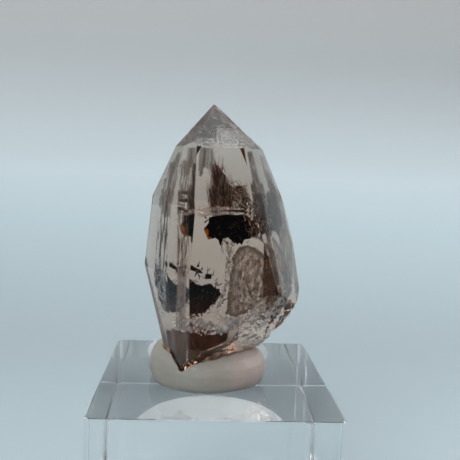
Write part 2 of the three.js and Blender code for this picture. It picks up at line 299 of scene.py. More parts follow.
outer = block_loop(block_rim, block_low.z)
dish_sphere = (dish_radius ** 2 + dish_depth ** 2) / (2 * dish_depth)
dish_loops = []
for ring in range(1, dish_rings + 1):
    reach = dish_radius * ring / dish_rings
    z = block_low.z + dish_depth - dish_sphere + math.sqrt(dish_sphere ** 2 - reach ** 2)
    dish_loops.append([
        Vector((p.x, p.y, 0)).normalized() * reach + Vector((0, 0, z)) for p in outer
    ])
rim_steps = [(1, 0), (0.55, 0.08), (0.29, 0.29), (0.08, 0.55), (0, 1)]
low_rims = [block_loop(block_rim * a, block_low.z + block_rim * b) for a, b in rim_steps]
high_rims = [
    block_loop(block_rim * a, block_high.z - block_rim * b) for a, b in reversed(rim_steps)
]
block = stacked_loops(
    "clear_block",
    dish_loops + low_rims + high_rims,
    start_point=Vector((0, 0, block_low.z + dish_depth)),
)


def smooth_round_faces(piece, widest_turn):
    """Smooth shading on rounded faces only: an edge stays sharp where a flat face begins."""
    work = bmesh.new()
    work.from_mesh(piece.data)
    work.normal_update()
    for face in work.faces:
        face.smooth = True
    for edge in work.edges:
        if len(edge.link_faces) != 2:
            continue
        a, b = edge.link_faces
        bigger = max(a.calc_area(), b.calc_area())
        smaller = min(a.calc_area(), b.calc_area())
        turn = a.normal.angle(b.normal, 0)
        meets_flat = bigger > 4 * smaller and turn > math.radians(0.3)
        edge.smooth = turn < widest_turn and not meets_flat
    work.to_mesh(piece.data)
    work.free()


def noise_node(nodes, links, vector, scale, detail=4, rough=0.6):
    made = nodes.new("ShaderNodeTexNoise")
    fill(links, made.inputs["Scale"], scale)
    made.inputs["Detail"].default_value = detail
    made.inputs["Roughness"].default_value = rough
    links.new(vector, made.inputs["Vector"])
    return made.outputs["Fac"]


def attribute_value(nodes, name):
    made = nodes.new("ShaderNodeAttribute")
    made.attribute_name = name
    return made.outputs["Fac"]


def bumped(nodes, links, shader, height, strength, distance):
    relief = nodes.new("ShaderNodeBump")
    relief.inputs["Strength"].default_value = strength
    relief.inputs["Distance"].default_value = distance
    links.new(height, relief.inputs["Height"])
    links.new(relief.outputs["Normal"], shader.inputs["Normal"])


smooth_round_faces(block, block_round_turn)
ground_mark = block.data.attributes.new("ground", "FLOAT", "FACE")
for face in block.data.polygons:
    in_dish = face.center.z < block_low.z + dish_depth and face.center.xy.length < dish_radius
    ground_mark.data[face.index].value = float(in_dish and face.normal.z < -0.9)
block_material, nodes, links, shader = new_material("clear_acrylic")
shader.inputs["Base Color"].default_value = acrylic_tint
shader.inputs["Transmission Weight"].default_value = 1
shader.inputs["IOR"].default_value = acrylic_ior
place = object_place(nodes)
smear = mapped(nodes, links, noise_node(nodes, links, place, 90), 0.55, 0.8, 0, 0.06)
frosting = combined(nodes, links, "MULTIPLY", attribute_value(nodes, "ground"), dish_frosting)
links.new(combined(nodes, links, "ADD", smear, frosting), shader.inputs["Roughness"])
bumped(nodes, links, shader, noise_node(nodes, links, place, 60, 2), 0.02, 1 * MM)
block.data.materials.append(block_material)
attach(block, "root")
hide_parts("display_block")

# Putty. A lump of soft display putty, pressed flat on the block with a thumb; the crystal's
# broken foot has sunk into it.
putty_voxel = 0.32 * MM
putty_sole = 0.25 * MM
putty_gap = 0.01 * MM
putty_rise = 1.2 * MM
thumb_dent = 0.22 * MM
small_dent = 0.05 * MM
putty_grey = (0.28, 0.275, 0.245, 1)
# The putty's own pink tint, also painted lighter than the grey as the side where light falls.
putty_pink_lit_side = (0.37, 0.3, 0.275, 1)


def joined_copy(name, *names):
    """A merged copy of one or more solids of the frame, as one new object."""
    work = bmesh.new()
    for node in names:
        work.from_mesh(bpy.data.objects[node].data)
    bmesh.ops.remove_doubles(work, verts=work.verts, dist=0.002 * MM)
    data = bpy.data.meshes.new(name)
    work.to_mesh(data)
    work.free()
    made = bpy.data.objects.new(name, data)
    bpy.context.collection.objects.link(made)
    return made


def settle(piece):
    """Turns a piece with modifiers into a plain mesh."""
    seen = piece.evaluated_get(bpy.context.evaluated_depsgraph_get())
    data = bpy.data.meshes.new_from_object(seen)
    piece.modifiers.clear()
    piece.data = data


putty = joined_copy("pressed_putty", "putty")
remesh = putty.modifiers.new("soft_form", "REMESH")
remesh.mode = "VOXEL"
remesh.voxel_size = putty_voxel
ease = putty.modifiers.new("eased_edges", "SMOOTH")
ease.factor = 0.5
ease.iterations = 4
settle(putty)
putty_low = block_high.z
for vertex in putty.data.vertices:
    p = vertex.co
    if p.z < putty_low + putty_sole:
        p.z = putty_low + putty_gap
        continue
    lift = min(1, (p.z - putty_low) / putty_rise)
    dents = noise.noise(p * 260) * thumb_dent + noise.noise(p * 800) * small_dent
    vertex.co = p + vertex.normal * (dents * lift)
for face in putty.data.polygons:
    face.use_smooth = True


def stretched(nodes, links, vector, stretch):
    made = nodes.new("ShaderNodeMapping")
    made.inputs["Scale"].default_value = stretch
    links.new(vector, made.inputs["Vector"])
    return made.outputs["Vector"]


putty_material, nodes, links, shader = new_material("display_putty")
place = object_place(nodes)
# Grey toward -x and pink toward +x: the pink is the putty's own tint, and the +x side is also
# painted lighter, as where light falls on it.
cloud = mapped(nodes, links, noise_node(nodes, links, place, 130), 0.2, 0.8, -7 * MM, 7 * MM)
across = combined(nodes, links, "ADD", split_place(nodes, links)["X"], cloud)
pink_lit_share = mapped(nodes, links, across, -3 * MM, 9 * MM, soft=True)
links.new(mixed_colour(nodes, links, pink_lit_share, putty_grey, putty_pink_lit_side), shader.inputs["Base Color"])
drawn = stretched(nodes, links, place, (1, 1, 0.25))
bumped(nodes, links, shader, noise_node(nodes, links, drawn, 900, 5, 0.7), 0.35, 0.15 * MM)
shader.inputs["Roughness"].default_value = 0.5
shader.inputs["Subsurface Weight"].default_value = 0.4
shader.inputs["Subsurface Radius"].default_value = (3 * MM, 2.5 * MM, 2.2 * MM)
shader.inputs["Subsurface Scale"].default_value = 1
putty.data.materials.append(putty_material)
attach(putty, "root")
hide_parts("putty")

# Crystal. One clear point of smoky quartz: six main sides, narrow faces between some of them,
# a short end pyramid and a foot broken off in curved steps. The two halves of the frame are
# joined again here, without their pockets.
parting_y = 5 * MM
seam_width = 0.001 * MM
foot_top = 64 * MM
foot_step = 0.34 * MM
halvings = 4
foot_small_face = 3 * MM * MM
foot_look_down = -0.33
edge_wear = 0.22 * MM
flat_turn = math.radians(0.6)
ridge_turn = math.radians(3)
crumple_turn = math.radians(38)
shoulder = 92.2 * MM
low_break = 50 * MM
rib_depth = 0.4 * MM
hackle_depth = 0.17 * MM
grain_depth = 0.05 * MM
tip_frost = 1.0
break_frost = 0.35
low_break_frost = 0.9
side_grooves = 1.0
front_grooves = 0.12
quartz_ior = 1.544
quartz_smoke = (0.68, 0.39, 0.19, 1)
quartz_smoke_density = 42
foot_stain = (0.2, 0.165, 0.14, 1)
stain_top = 52 * MM
stain_full = 46 * MM

crystal = joined_copy("quartz_point", "crystal_front", "crystal_back")
work = bmesh.new()
work.from_mesh(crystal.data)
seam = [
    face for face in work.faces
    if all(abs(vertex.co.y - parting_y) < seam_width for vertex in face.verts)
]
bmesh.ops.delete(work, geom=seam, context="FACES")
shells = []
unseen = set(work.faces)
while unseen:
    shell = [unseen.pop()]
    for face in shell:
        for edge in face.edges:
            for other in edge.link_faces:
                if other in unseen:
                    unseen.discard(other)
                    shell.append(other)
    shells.append(shell)
shells.sort(key=len, reverse=True)
pocket_walls = [face for shell in shells[1:] for face in shell]
bmesh.ops.delete(work, geom=pocket_walls, context="FACES")
bmesh.ops.dissolve_limit(work, angle_limit=flat_turn, verts=work.verts, edges=work.edges)
work.normal_update()
foot_mark = work.faces.layers.int.new("foot")
for face in work.faces:
    low = face.calc_center_median().z < foot_top
    grown_side = face.normal.x < -0.6 and face.normal.y > 0.2
    small = face.calc_area() < foot_small_face
    broken = small or (face.normal.z < foot_look_down and not grown_side)
    face[foot_mark] = int(low and broken)
foot_faces = [face for face in work.faces if face[foot_mark]]
bmesh.ops.triangulate(work, faces=foot_faces)
for _ in range(halvings):
    long_edges = [
        edge for edge in work.edges
        if edge.calc_length() > foot_step and any(f[foot_mark] for f in edge.link_faces)
    ]
    bmesh.ops.subdivide_edges(work, edges=long_edges, cuts=1)
    many_sided = [f for f in work.faces if f[foot_mark] and len(f.verts) > 3]
    bmesh.ops.triangulate(work, faces=many_sided)
work.normal_update()


def crumple(p):
    """How far the break lies in or out at a point: curved ribs with fine hackles on them."""
    ribs = 1 - abs(noise.noise(Vector((p.x, p.y, p.z * 1.6)) * 330)) * 2
    hackles = 1 - abs(noise.noise(p * 900 + Vector((7, 3, 1)))) * 2
    grain = noise.noise(p * 2400)
    return rib_depth * (ribs - 0.6) + hackle_depth * (hackles - 0.6) + grain_depth * grain


for vertex in work.verts:
    if all(face[foot_mark] for face in vertex.link_faces):
        vertex.co = vertex.co + vertex.normal * crumple(vertex.co)
work.normal_update()
ridges = [
    edge for edge in work.edges
    if len(edge.link_faces) == 2
    and not any(f[foot_mark] for f in edge.link_faces)
    and edge.link_faces[0].normal.angle(edge.link_faces[1].normal, 0) > ridge_turn
]
bmesh.ops.bevel(
    work, geom=ridges, offset=edge_wear, segments=2, profile=0.6, affect="EDGES",
    clamp_overlap=True,
)
work.normal_update()
frost_mark = work.faces.layers.float.new("frost")
streak_mark = work.faces.layers.float.new("streak")
for face in work.faces:
    face.smooth = bool(face[foot_mark])
    middle = face.calc_center_median()
    on_tip = middle.z > shoulder and face.normal.z > 0.3
    looks_front = face.normal.y < -0.9
    if on_tip:
        face[frost_mark] = tip_frost
    elif face[foot_mark]:
        face[frost_mark] = low_break_frost if middle.z < low_break else break_frost
    else:
        face[streak_mark] = front_grooves if looks_front else side_grooves
for edge in work.edges:
    edge.smooth = (
        len(edge.link_faces) == 2
        and all(f[foot_mark] for f in edge.link_faces)
        and edge.link_faces[0].normal.angle(edge.link_faces[1].normal, 0) < crumple_turn
    )
work.to_mesh(crystal.data)
crystal_skin = BVHTree.FromBMesh(work)
work.free()

quartz_material, nodes, links, shader = new_material("smoky_quartz")
shader.inputs["Transmission Weight"].default_value = 1
shader.inputs["IOR"].default_value = quartz_ior
smoke = nodes.new("ShaderNodeVolumeAbsorption")
smoke.inputs["Color"].default_value = quartz_smoke
smoke.inputs["Density"].default_value = quartz_smoke_density
links.new(smoke.outputs["Volume"], nodes["Material Output"].inputs["Volume"])
place = object_place(nodes)
frost = attribute_value(nodes, "frost")
streak = attribute_value(nodes, "streak")
grooves = noise_node(nodes, links, stretched(nodes, links, place, (1, 1, 0.06)), 1500, 5, 0.65)
grooves = combined(nodes, links, "MULTIPLY", grooves, streak)
grooves = combined(nodes, links, "MULTIPLY", grooves, 0.25)
pits = combined(nodes, links, "MULTIPLY", noise_node(nodes, links, place, 2600, 3, 0.7), frost)
bumped(nodes, links, shader, combined(nodes, links, "ADD", grooves, pits), 0.5, 0.2 * MM)
bloom = mapped(nodes, links, noise_node(nodes, links, place, 420), 0.4, 0.65, 0.05, 0.34)
bloom = combined(nodes, links, "MULTIPLY", bloom, frost)
links.new(combined(nodes, links, "ADD", bloom, 0.01), shader.inputs["Roughness"])
cloud = noise_node(nodes, links, place, 180, 3, 0.5)
cloud = mapped(nodes, links, cloud, 0, 1, -3 * MM, 3 * MM)
stain_height = combined(nodes, links, "ADD", split_place(nodes, links)["Z"], cloud)
stain = mapped(nodes, links, stain_height, stain_top, stain_full, soft=True)
stained = mixed_colour(nodes, links, stain, (1, 1, 1, 1), foot_stain)
links.new(stained, shader.inputs["Base Color"])
crystal.data.materials.append(quartz_material)
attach(crystal, "root")
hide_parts("crystal_front", "crystal_back")

# Dark inclusions. Plates and lozenges of black ore that the quartz grew round, with a ragged
# surface. The upper one thins to amber at its low left corner, painted bright as light shining
# through the thin ore; the lower one to red-brown.
ore_step = 0.3 * MM
ore_tear = 0.24 * MM
ore_fine_tear = 0.14 * MM
ore_black = (0.003, 0.0025, 0.0025, 1)
# Amber of the thin ore corner, painted bright as a glow of light shining through it.
ore_amber_glow = (0.75, 0.28, 0.03, 1)
ore_red = (0.055, 0.02, 0.009, 1)


def ore_material(name, tint, way, start, fade, front_reach=None):
    """Black ore that changes to a tint beyond a line; way is [x, z], the rest millimetres.

    With a front reach, only what lies before that y is tinted.
    """
    made, nodes, links, shader = new_material(name)
    place = object_place(nodes)
    along = nodes.new("ShaderNodeVectorMath")
    along.operation = "DOT_PRODUCT"
    along.inputs[1].default_value = (way[0], 0, way[1])
    links.new(place, along.inputs[0])
    ragged = noise_node(nodes, links, place, 700, 5, 0.65)
    ragged = mapped(nodes, links, ragged, 0, 1, -1.6 * MM, 1.6 * MM)
    reach = combined(nodes, links, "ADD", along.outputs["Value"], ragged)
    share = mapped(nodes, links, reach, start * MM, (start + fade) * MM)
    if front_reach is not None:
        depth = split_place(nodes, links)["Y"]
        in_front = mapped(nodes, links, depth, front_reach * MM, (front_reach + 0.3) * MM, 1, 0)
        share = combined(nodes, links, "MULTIPLY", share, in_front)
    links.new(mixed_colour(nodes, links, share, ore_black, tint), shader.inputs["Base Color"])
    grain = noise_node(nodes, links, place, 1800, 4, 0.7)
    links.new(mapped(nodes, links, grain, 0.3, 0.7, 0.35, 0.7), shader.inputs["Roughness"])
    shader.inputs["Specular IOR Level"].default_value = 0.06
    bumped(nodes, links, shader, grain, 0.6, 0.1 * MM)
    return made


def ragged_ore(name, node, material):
    piece = joined_copy(name, node)
    work = bmesh.new()
    work.from_mesh(piece.data)
    bmesh.ops.triangulate(work, faces=work.faces)
    for _ in range(halvings):
        long_edges = [edge for edge in work.edges if edge.calc_length() > ore_step]
        bmesh.ops.subdivide_edges(work, edges=long_edges, cuts=1)
        bmesh.ops.triangulate(work, faces=[f for f in work.faces if len(f.verts) > 3])
    work.normal_update()
    for vertex in work.verts:
        p = vertex.co
        torn = noise.noise(p * 900) * ore_tear + noise.noise(p * 2300) * ore_fine_tear
        vertex.co = p + vertex.normal * torn
    work.to_mesh(piece.data)
    work.free()
    piece.data.materials.append(material)
    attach(piece, "root")
    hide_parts(node)


upper_low, upper_high = (Vector(corner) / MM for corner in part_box("inclusion_upper"))
lower_low = Vector(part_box("inclusion_lower")[0]) / MM
amber_line = -(upper_low.x + 1.0) - 0.5 * (upper_low.z + 3.2)
upper_middle_y = (upper_low.y + upper_high.y) / 2
upper_ore = ore_material("upper_ore", ore_amber_glow, (-1, -0.5), amber_line, 0.4, upper_middle_y)
lower_ore = ore_material("lower_ore", ore_red, (0, -1), -(lower_low.z + 4.4), 1.4)
ragged_ore("upper_ore_mass", "inclusion_upper", upper_ore)
ragged_ore("lower_ore_mass", "inclusion_lower", lower_ore)
ragged_ore("left_ore_flake", "inclusion_flake_left", lower_ore)
ragged_ore("right_ore_flake", "inclusion_flake_right", lower_ore)

# Brown sheaf. Above the upper ore a fan of fine brown needles and smoke leans to the right:
# the film is the smoke between them, and the needles stand in it.
film_step = 0.35
film_thickness = 0.05 * MM
film_cover = 0.3
film_rim_haste = 8
dark_brown = (0.022, 0.012, 0.008, 1)
warm_brown = (0.13, 0.065, 0.032, 1)


def torn_film_group():
    """Shader group: a mask with streaks and holes, or one of fine veins, frayed at the rim."""
    group = bpy.data.node_groups.new("torn_film", "ShaderNodeTree")
    inputs = (
        ("Place", "NodeSocketVector"), ("Rim", "NodeSocketFloat"), ("Scale", "NodeSocketFloat"),
        ("Stretch", "NodeSocketVector"), ("Cut", "NodeSocketFloat"),
        ("Softness", "NodeSocketFloat"), ("Fray", "NodeSocketFloat"),
        ("Border Reach", "NodeSocketFloat"),
    )
    for label, kind in inputs:
        group.interface.new_socket(label, in_out="INPUT", socket_type=kind)
    for label in ("Streaks", "Veins", "Mottle", "Border"):
        group.interface.new_socket(label, in_out="OUTPUT", socket_type="NodeSocketFloat")
    nodes, links = group.nodes, group.links
    enter = nodes.new("NodeGroupInput").outputs
    leave = nodes.new("NodeGroupOutput").inputs
    pull = nodes.new("ShaderNodeVectorMath")
    pull.operation = "MULTIPLY"
    links.new(enter["Place"], pull.inputs[0])
    links.new(enter["Stretch"], pull.inputs[1])
    weave = noise_node(nodes, links, pull.outputs[0], enter["Scale"], 6, 0.68)
    below = combined(nodes, links, "SUBTRACT", enter["Cut"], enter["Softness"])
    above = combined(nodes, links, "ADD", enter["Cut"], enter["Softness"])
    streaks = mapped(nodes, links, weave, below, above)
    away = combined(nodes, links, "SUBTRACT", weave, enter["Cut"])
    away = combined(nodes, links, "ABSOLUTE", away)
    veins = mapped(nodes, links, away, 0, enter["Softness"], 1, 0)
    frayed = noise_node(nodes, links, enter["Place"], 900)
    pulled_in = combined(nodes, links, "MULTIPLY", frayed, enter["Fray"])
    left_over = combined(nodes, links, "SUBTRACT", enter["Rim"], pulled_in)
    edge = mapped(nodes, links, left_over, 0, 0.35)
    border = mapped(nodes, links, left_over, 0, enter["Border Reach"], 1, 0, soft=True)
    for label, mask in (("Streaks", streaks), ("Veins", veins), ("Border", border)):
        links.new(combined(nodes, links, "MULTIPLY", mask, edge), leave[label])
    links.new(weave.node.outputs["Color"], leave["Mottle"])
    return group


torn_film = torn_film_group()


def film_material(
    name, pale, deep, scale, stretch, cut, softness, fray=1.0, most=0.9, pattern="Streaks",
    border=0.0, border_reach=1.3,
):
    made, nodes, links, shader = new_material(name)
    film = nodes.new("ShaderNodeGroup")
    film.node_tree = torn_film
    given = {
        "Place": object_place(nodes), "Rim": attribute_value(nodes, "rim"), "Scale": scale,
        "Stretch": stretch, "Cut": cut, "Softness": softness, "Fray": fray,
        "Border Reach": border_reach,
    }
    for label, amount in given.items():
        fill(links, film.inputs[label], amount)
    outlined = combined(nodes, links, "MULTIPLY", film.outputs["Border"], border)
    cover = combined(nodes, links, "MAXIMUM", film.outputs[pattern], outlined)
    cover = combined(nodes, links, "MULTIPLY", cover, most)
    links.new(cover, shader.inputs["Alpha"])
    shade = mapped(nodes, links, film.outputs["Mottle"], 0.38, 0.62)
    shade = combined(nodes, links, "MAXIMUM", shade, outlined)
    links.new(mixed_colour(nodes, links, shade, pale, deep), shader.inputs["Base Color"])
    shader.inputs["Roughness"].default_value = 0.5
    shader.inputs["Specular IOR Level"].default_value = 0.2
    return made


def rim_distance(x, z, outline):
    """How far a point is inside an outline, in the outline's own unit; negative outside."""
    nearest = math.inf
    inside = False
    for (ax, az), (bx, bz) in zip(outline, outline[1:] + outline[:1]):
        along_x, along_z = bx - ax, bz - az
        share = ((x - ax) * along_x + (z - az) * along_z) / (along_x ** 2 + along_z ** 2)
        share = min(1, max(0, share))
        nearest = min(nearest, math.hypot(x - ax - share * along_x, z - az - share * along_z))
        if (az > z) != (bz > z) and x < ax + along_x * (z - az) / along_z:
            inside = not inside
    return nearest if inside else -nearest


def buried(point):
    """How deep a point lies under the crystal's surface, in millimetres."""
    place, normal, _, _ = crystal_skin.find_nearest(point)
    return (place - point).dot(normal) / MM


def outline_sheet(name, outline, depth, wave, wave_length):
    """A sheet over an outline of [x, z] in millimetres; depth gives its y at a point.

    It ends where it would come out of the crystal.
    """
    xs = [x for x, z in outline]
    zs = [z for x, z in outline]
    columns = math.ceil((max(xs) - min(xs)) / film_step) + 2
    rows = math.ceil((max(zs) - min(zs)) / film_step) + 2
    points = []
    rims = []
    for row in range(rows + 1):
        for column in range(columns + 1):
            x = min(xs) + (column - 1) * film_step
            z = min(zs) + (row - 1) * film_step
            base = depth(x, z) if callable(depth) else depth
            ripple = wave * noise.noise(Vector((x, base, z)) / wave_length + Vector((0, 9, 4)))
            points.append(Vector((x, base + ripple, z)) * MM)
            depth_left = (buried(points[-1]) - film_cover) * film_rim_haste
            rims.append(min(rim_distance(x, z, outline), depth_left))
    faces = []
    for row in range(rows):
        for column in range(columns):
            a = row * (columns + 1) + column
            corners = (a, a + 1, a + columns + 2, a + columns + 1)
            if all(rims[i] > -0.5 * film_cover for i in corners):
                faces.append(corners)
    sheet = mesh_object(name, points, faces)
    rim = sheet.data.attributes.new("rim", "FLOAT", "POINT")
    rim.data.foreach_set("value", rims)
    work = bmesh.new()
    work.from_mesh(sheet.data)
    bmesh.ops.delete(work, geom=[v for v in work.verts if not v.link_faces], context="VERTS")
    work.to_mesh(sheet.data)
    work.free()
    return sheet


def under_face(point, normal, inset):
    """Gives y on a plane that lies inset millimetres under a face of the crystal."""
    start = Vector(point) - Vector(normal).normalized() * inset

    def depth(x, z):
        return start.y - (normal[0] * (x - start.x) + normal[2] * (z - start.z)) / normal[1]

    return depth


def film(name, outline, depth, material, wave=0.5, wave_length=6.0):
    """A thin closed film of healed crack or smoke inside the quartz."""
    piece = outline_sheet(name, outline, depth, wave, wave_length)
    body = piece.modifiers.new("body", "SOLIDIFY")
    body.thickness = film_thickness
    body.offset = 0
    settle(piece)
    for face in piece.data.polygons:
        face.use_smooth = True
    piece.data.materials.append(material)
    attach(piece, "root")


def scatter_tree(name, needle):
    """A tree that sets small grains about a guide sheet, each turned and sized at random."""
    tree = bpy.data.node_groups.new(name, "GeometryNodeTree")
    inputs = (
        ("Guide", "NodeSocketGeometry"), ("Density", "NodeSocketFloat"),
        ("Reach", "NodeSocketVector"), ("Width", "NodeSocketFloat"),
        ("Length", "NodeSocketFloat"), ("Least Turn", "NodeSocketVector"),
        ("Most Turn", "NodeSocketVector"), ("Least Size", "NodeSocketVector"),
        ("Most Size", "NodeSocketVector"), ("Seed", "NodeSocketInt"),
        ("Finish", "NodeSocketMaterial"),
    )
    for label, kind in inputs:
        tree.interface.new_socket(label, in_out="INPUT", socket_type=kind)
    tree.interface.new_socket("Grains", in_out="OUTPUT", socket_type="NodeSocketGeometry")
    nodes, links = tree.nodes, tree.links
    enter = nodes.new("NodeGroupInput").outputs
    spread = nodes.new("GeometryNodeDistributePointsOnFaces")
    links.new(enter["Guide"], spread.inputs["Mesh"])
    links.new(enter["Density"], spread.inputs["Density"])
    links.new(enter["Seed"], spread.inputs["Seed"])

    def chance(low, high, step):
        made = nodes.new("FunctionNodeRandomValue")
        made.data_type = "FLOAT_VECTOR"
        links.new(combined(nodes, links, "ADD", enter["Seed"], step), made.inputs["Seed"])
        links.new(low, made.inputs["Min"])
        links.new(high, made.inputs["Max"])
        return made.outputs["Value"]

    behind = nodes.new("ShaderNodeVectorMath")
    behind.operation = "SCALE"
    behind.inputs["Scale"].default_value = -1
    links.new(enter["Reach"], behind.inputs[0])
    shift = nodes.new("GeometryNodeSetPosition")
    links.new(spread.outputs["Points"], shift.inputs["Geometry"])
    links.new(chance(behind.outputs[0], enter["Reach"], 1), shift.inputs["Offset"])
    if needle:
        grain = nodes.new("GeometryNodeMeshCone")
        grain.inputs["Vertices"].default_value = 5
        links.new(enter["Width"], grain.inputs["Radius Bottom"])
        links.new(enter["Length"], grain.inputs["Depth"])
    else:
        grain = nodes.new("GeometryNodeMeshIcoSphere")
        grain.inputs["Subdivisions"].default_value = 1
        links.new(enter["Width"], grain.inputs["Radius"])
    stand = nodes.new("GeometryNodeInstanceOnPoints")
    links.new(shift.outputs["Geometry"], stand.inputs["Points"])
    links.new(grain.outputs["Mesh"], stand.inputs["Instance"])
    links.new(chance(enter["Least Turn"], enter["Most Turn"], 2), stand.inputs["Rotation"])
    links.new(chance(enter["Least Size"], enter["Most Size"], 3), stand.inputs["Scale"])
    whole = nodes.new("GeometryNodeRealizeInstances")
    links.new(stand.outputs["Instances"], whole.inputs["Geometry"])
    finish = nodes.new("GeometryNodeSetMaterial")
    links.new(whole.outputs["Geometry"], finish.inputs["Geometry"])
    links.new(enter["Finish"], finish.inputs["Material"])
    leave = nodes.new("NodeGroupOutput")
    links.new(finish.outputs["Geometry"], leave.inputs["Grains"])
    return tree


needle_tree = scatter_tree("needle_spray", True)
crumb_tree = scatter_tree("crumb_cloud", False)
full_turn = (2 * math.pi, 2 * math.pi, 2 * math.pi)


def scattered(name, tree, outline, depth, slot, **values):
    """Grains about an outline of [x, z] in millimetres, as one plain mesh."""
    piece = outline_sheet(name, outline, depth, 0.4, 5)
    modifier = piece.modifiers.new("grains", "NODES")
    modifier.node_group = tree
    for item in tree.interface.items_tree:
        label = item.name.lower().replace(" ", "_")
        if item.in_out == "INPUT" and label in values:
            modifier[item.identifier] = values[label]
    settle(piece)
    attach(piece, "root")


def grain_material(name, colour, other, roughness):
    made, nodes, links, shader = new_material(name)
    patch = noise_node(nodes, links, object_place(nodes), 1100, 3)
    patch = mapped(nodes, links, patch, 0.4, 0.6)
    links.new(mixed_colour(nodes, links, patch, colour, other), shader.inputs["Base Color"])
    shader.inputs["Roughness"].default_value = roughness
    shader.inputs["Specular IOR Level"].default_value = 0.8
    return made


sheaf_outline = [
    (-3, 88.1), (-1.8, 88.4), (-0.3, 87.2), (0.9, 85.7), (1.9, 83.6), (3.3, 82.6), (3.3, 80.2),
    (2.4, 77.4), (-3.2, 77.4), (-3.7, 80.2), (-3.7, 83.1), (-3, 83.1), (-3.2, 86),
]
sheaf_smoke = film_material(
    "sheaf_smoke", warm_brown, dark_brown, 1000, (1, 1, 0.12), 0.4, 0.12, 1.0, 0.93)
film("sheaf_film", sheaf_outline, 3, sheaf_smoke)
needle_brown = grain_material("needle_brown", (0.02, 0.011, 0.007, 1), (0.2, 0.1, 0.05, 1), 0.4)
scattered(
    "sheaf_needles", needle_tree, sheaf_outline, 2, "dark_mineral",
    density=4.0e6, reach=(0, 1.6 * MM, 0), width=0.06 * MM, length=3 * MM,
    least_turn=(-0.1, -0.34, 0), most_turn=(0.1, 0.14, 0), least_size=(0.6, 0.6, 0.5),
    most_size=(1.3, 1.3, 1.3), seed=5, finish=needle_brown,
)
# Painted highlights: pale beige needles stand for the bright glints among the sheaf's dark
# needles.
glint_beige = grain_material("glint_beige", (0.62, 0.5, 0.4, 1), (0.4, 0.25, 0.15, 1), 0.3)
scattered(
    "sheaf_glints", needle_tree, sheaf_outline, 0.6, "smoky_quartz",
    density=0.9e6, reach=(0, 0.8 * MM, 0), width=0.05 * MM, length=2.6 * MM,
    least_turn=(-0.1, -0.75, 0), most_turn=(0.1, 0.1, 0), least_size=(0.6, 0.6, 0.3),
    most_size=(1.2, 1.2, 1.2), seed=17, finish=glint_beige,
)
tangle_smoke = film_material(
    "tangle_smoke", (0.22, 0.14, 0.09, 1), dark_brown, 800, (1, 1, 0.4), 0.46, 0.05, 0.8, 0.95)
tangle_outline = [
    (1.6, 83.8), (5.4, 83.4), (6.4, 80.8), (8.2, 78.5), (8.8, 73.8), (6.6, 72), (5.6, 75.6),
    (4.4, 77.4), (2.2, 77.4),
]
film("tangle_film", tangle_outline, 2.6, tangle_smoke, wave=2.2, wave_length=3)
scattered(
    "tangle_needles", needle_tree, tangle_outline, 1.6, "dark_mineral",
    density=2.4e6, reach=(0, 1.4 * MM, 0), width=0.1 * MM, length=1.8 * MM,
    least_turn=(-0.5, -1.3, 0), most_turn=(0.5, 1.3, 0), least_size=(0.6, 0.6, 0.4),
    most_size=(1.5, 1.5, 1.3), seed=23, finish=needle_brown,
)
# Painted highlights: pale needles stand for the bright shiny spots in the tangle.
scattered(
    "tangle_glints", needle_tree, tangle_outline, 0.2, "smoky_quartz",
    density=1.1e6, reach=(0, 0.6 * MM, 0), width=0.09 * MM, length=1.6 * MM,
    least_turn=(-0.5, -1.3, 0), most_turn=(0.5, 1.3, 0), least_size=(0.6, 0.6, 0.4),
    most_size=(1.3, 1.3, 1.3), seed=29, finish=glint_beige,
)
# Painted shadow: a dark brown sheet trailing down to the right under the upper ore, over the top
# of the brown dome.
film("trailing_smoke", [
    (3.8, 73.8), (6, 74.6), (9, 75.4), (11, 73), (12.4, 69.5), (10.6, 69.8), (8.2, 71.6),
    (5, 72.4),
], 3.6, tangle_smoke, wave=1, wave_length=3)
# A brown streaked sheet under the top left end: its streaks are smoke in the quartz, and its
# darker column with a straight right side is painted shade, standing for the dark refraction of
# the back edge.
column_smoke = film_material(
    "column_smoke", (0.26, 0.18, 0.13, 1), dark_brown, 700, (1, 1, 0.08), 0.47, 0.16, 1.6, 0.62)
film("column_film", [
    (-6.4, 92.4), (-1.3, 92.4), (-1.3, 87), (-2.4, 83.4), (-3.6, 86), (-4.8, 83), (-6.4, 85),
], 0.5, column_smoke, wave=0.2)
scattered(
    "hanging_fibres", needle_tree, [(-0.6, 72.4), (3.4, 72.2), (3.6, 69.6), (0, 69.2)], 4.6,
    "dark_mineral", density=3.0e6, reach=(0, 0.5 * MM, 0), width=0.07 * MM, length=2.4 * MM,
    least_turn=(math.pi - 0.1, -0.3, 0), most_turn=(math.pi + 0.1, 0.3, 0),
    least_size=(0.6, 0.6, 0.5), most_size=(1.4, 1.4, 1.2), seed=11, finish=needle_brown,
)

# Lying veil. A milky sheet of trapped fluid lies flat over the upper ore, where a crack healed.
veil_y = 3.4
veil_z = 77.6
veil_slope = 5
milk = (0.8, 0.86, 0.92, 1)
grey_milk = (0.3, 0.28, 0.26, 1)
flat_milk = film_material(
    "flat_milk", (0.74, 0.87, 1, 1), grey_milk, 900, (0.5, 1, 1), 0.42, 0.08, 0.3, 0.95)


def lying_veil(x, z):
    return veil_y + veil_slope * (z - veil_z)


film("flat_veil", [
    (-5.8, 77), (-5.4, 78), (-1.7, 78.2), (0.6, 78.5), (2.4, 78.2), (3.6, 77.8),
    (2.4, 77.3), (-1.4, 76.9), (-4.4, 76.7),
], lying_veil, flat_milk)

